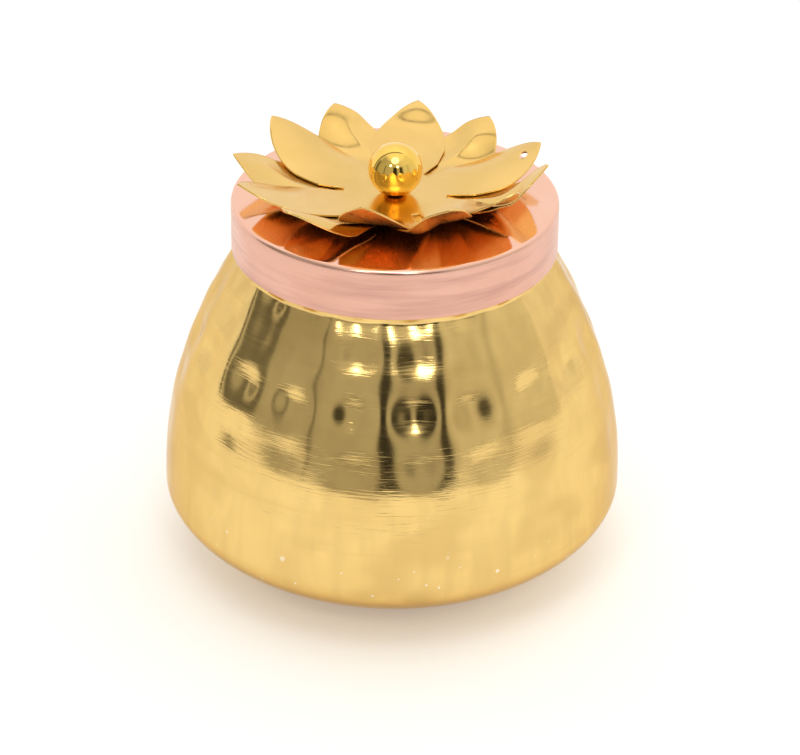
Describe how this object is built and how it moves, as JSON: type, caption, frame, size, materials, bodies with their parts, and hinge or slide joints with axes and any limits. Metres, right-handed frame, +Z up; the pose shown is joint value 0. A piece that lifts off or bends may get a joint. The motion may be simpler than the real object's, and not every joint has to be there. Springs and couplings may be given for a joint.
{
  "type": "kalash pot with flower lid",
  "caption": "Hammered brass kalash pot with a push-on copper lid that carries a stamped petal flower and a ball knob.",
  "frame": {"origin": "centre of the pot's flat base, on the surface it stands on", "axes": "+Z up along the pot's turning axis; an upper petal points 23 degrees round from +X towards +Y"},
  "size_m": [0.11, 0.11, 0.1066],
  "materials": {
    "pot_brass": "hammered, gold-lacquered, fine spinning lines",
    "lid_copper": "copper plated, satin skirt, bright top",
    "petal_brass": "satin sheet",
    "ball_brass": "polished",
    "screw_steel": "zinc plated"
  },
  "bodies": {
    "pot": {"pot_body": "pot_brass"},
    "lid": {"lid_cap": "lid_copper", "lower_petals": "petal_brass", "upper_petals": "petal_brass", "ball_knob": "ball_brass", "knob_screw": "screw_steel", "lid_washer": "screw_steel"}
  },
  "joints": [
    {"name": "lid_lift", "type": "slide", "parent": "pot", "child": "lid", "axis": [0, 0, 1], "range_m": [0, 0.05]}
  ]
}
